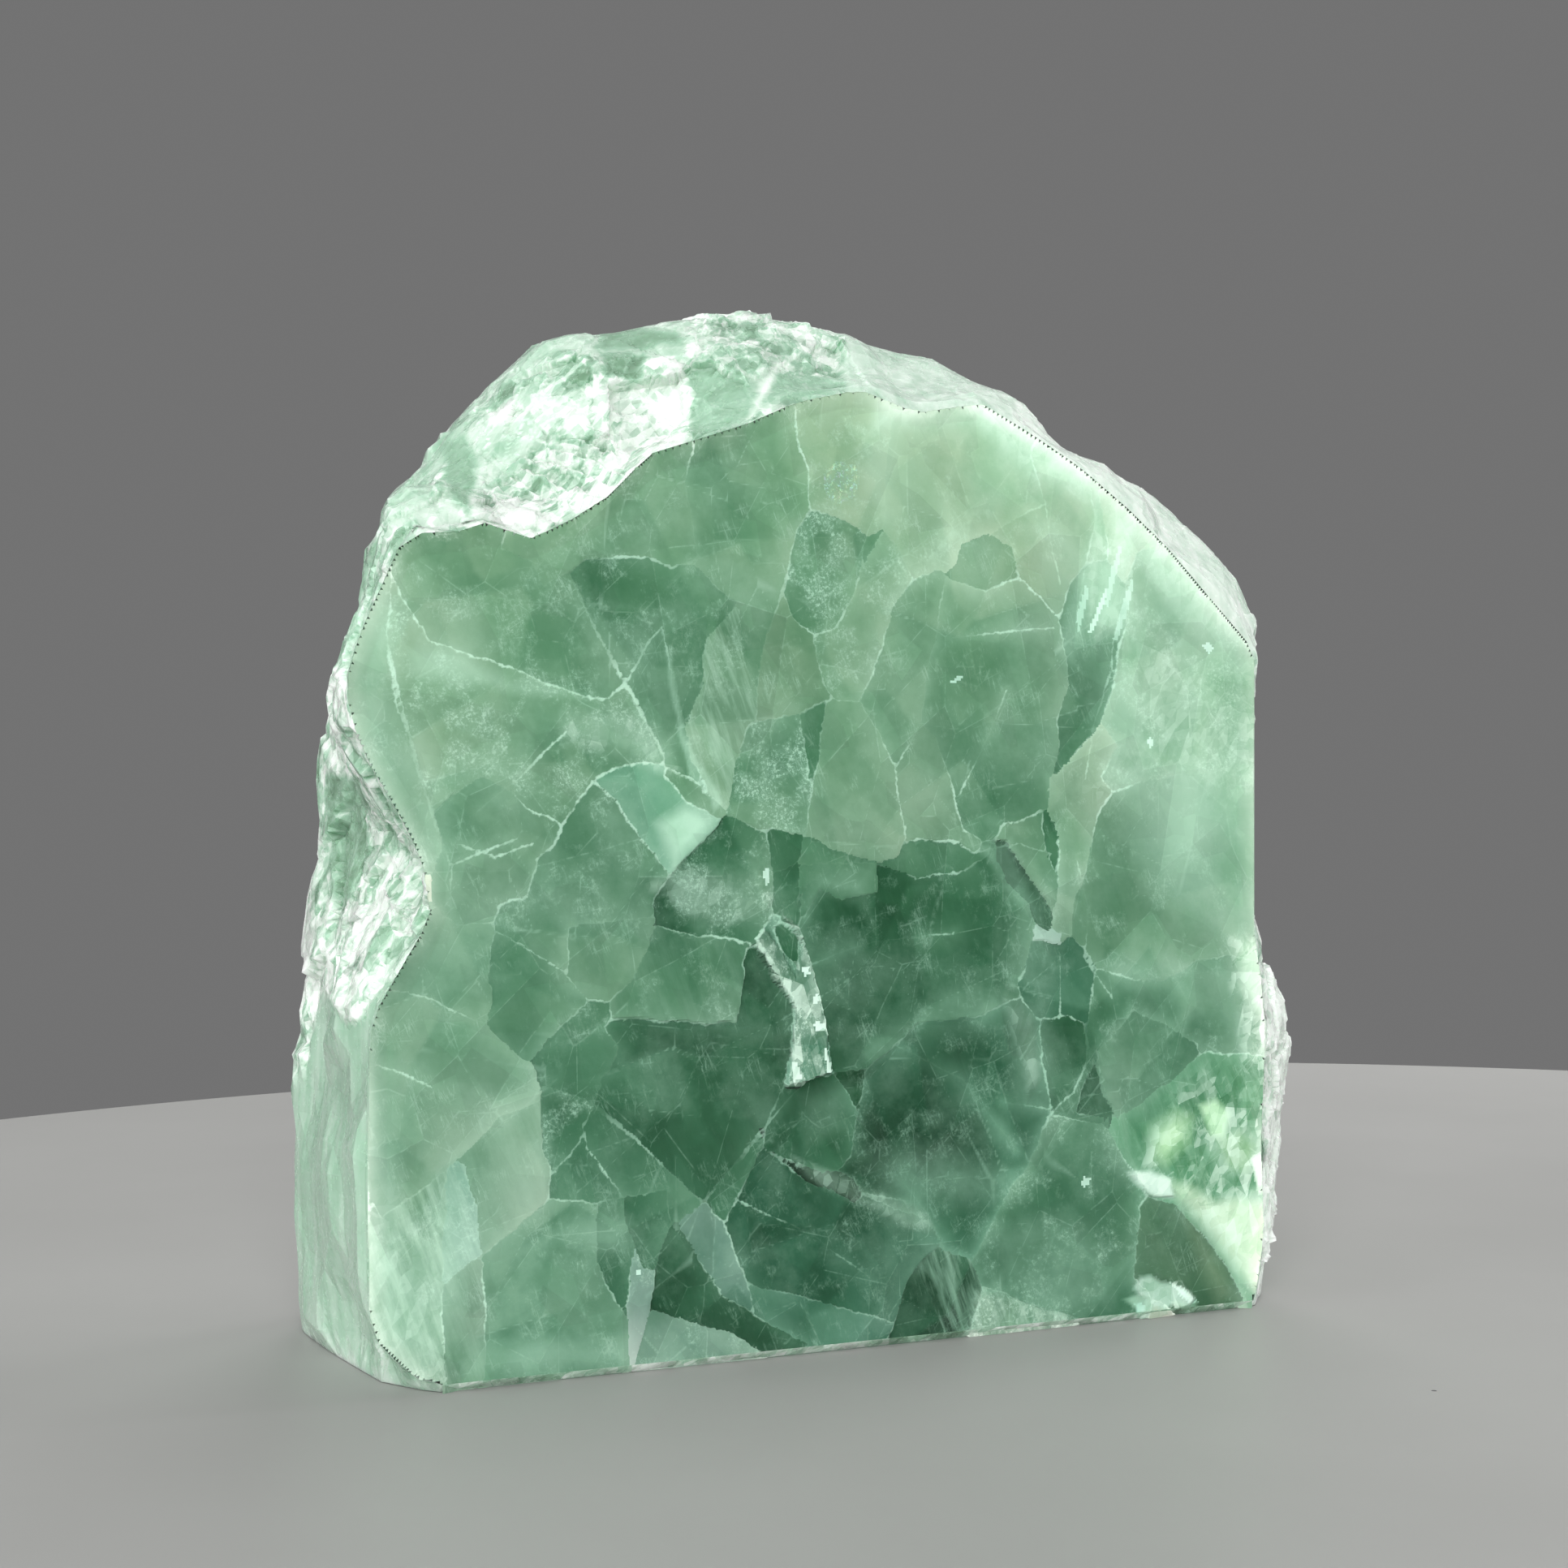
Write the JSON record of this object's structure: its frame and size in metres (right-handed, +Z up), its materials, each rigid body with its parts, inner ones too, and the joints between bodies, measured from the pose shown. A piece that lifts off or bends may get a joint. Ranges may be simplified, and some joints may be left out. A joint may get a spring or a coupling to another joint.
{
  "type": "fluorite freeform",
  "caption": "Free-standing lump of green fluorite with a polished flat front, a sawn flat foot and a rough natural crown, sides and back.",
  "frame": {"origin": "on the surface the stone stands on, under the middle of its bounding box", "axes": "+Z up; the polished front faces -Y, so +Y runs back into the stone and +X runs to the right seen from the front"},
  "size_m": [0.1104, 0.045, 0.1069],
  "materials": {
    "fluorite": "gloss"
  },
  "bodies": {
    "root": {"fluorite_stone": "fluorite"}
  },
  "joints": []
}
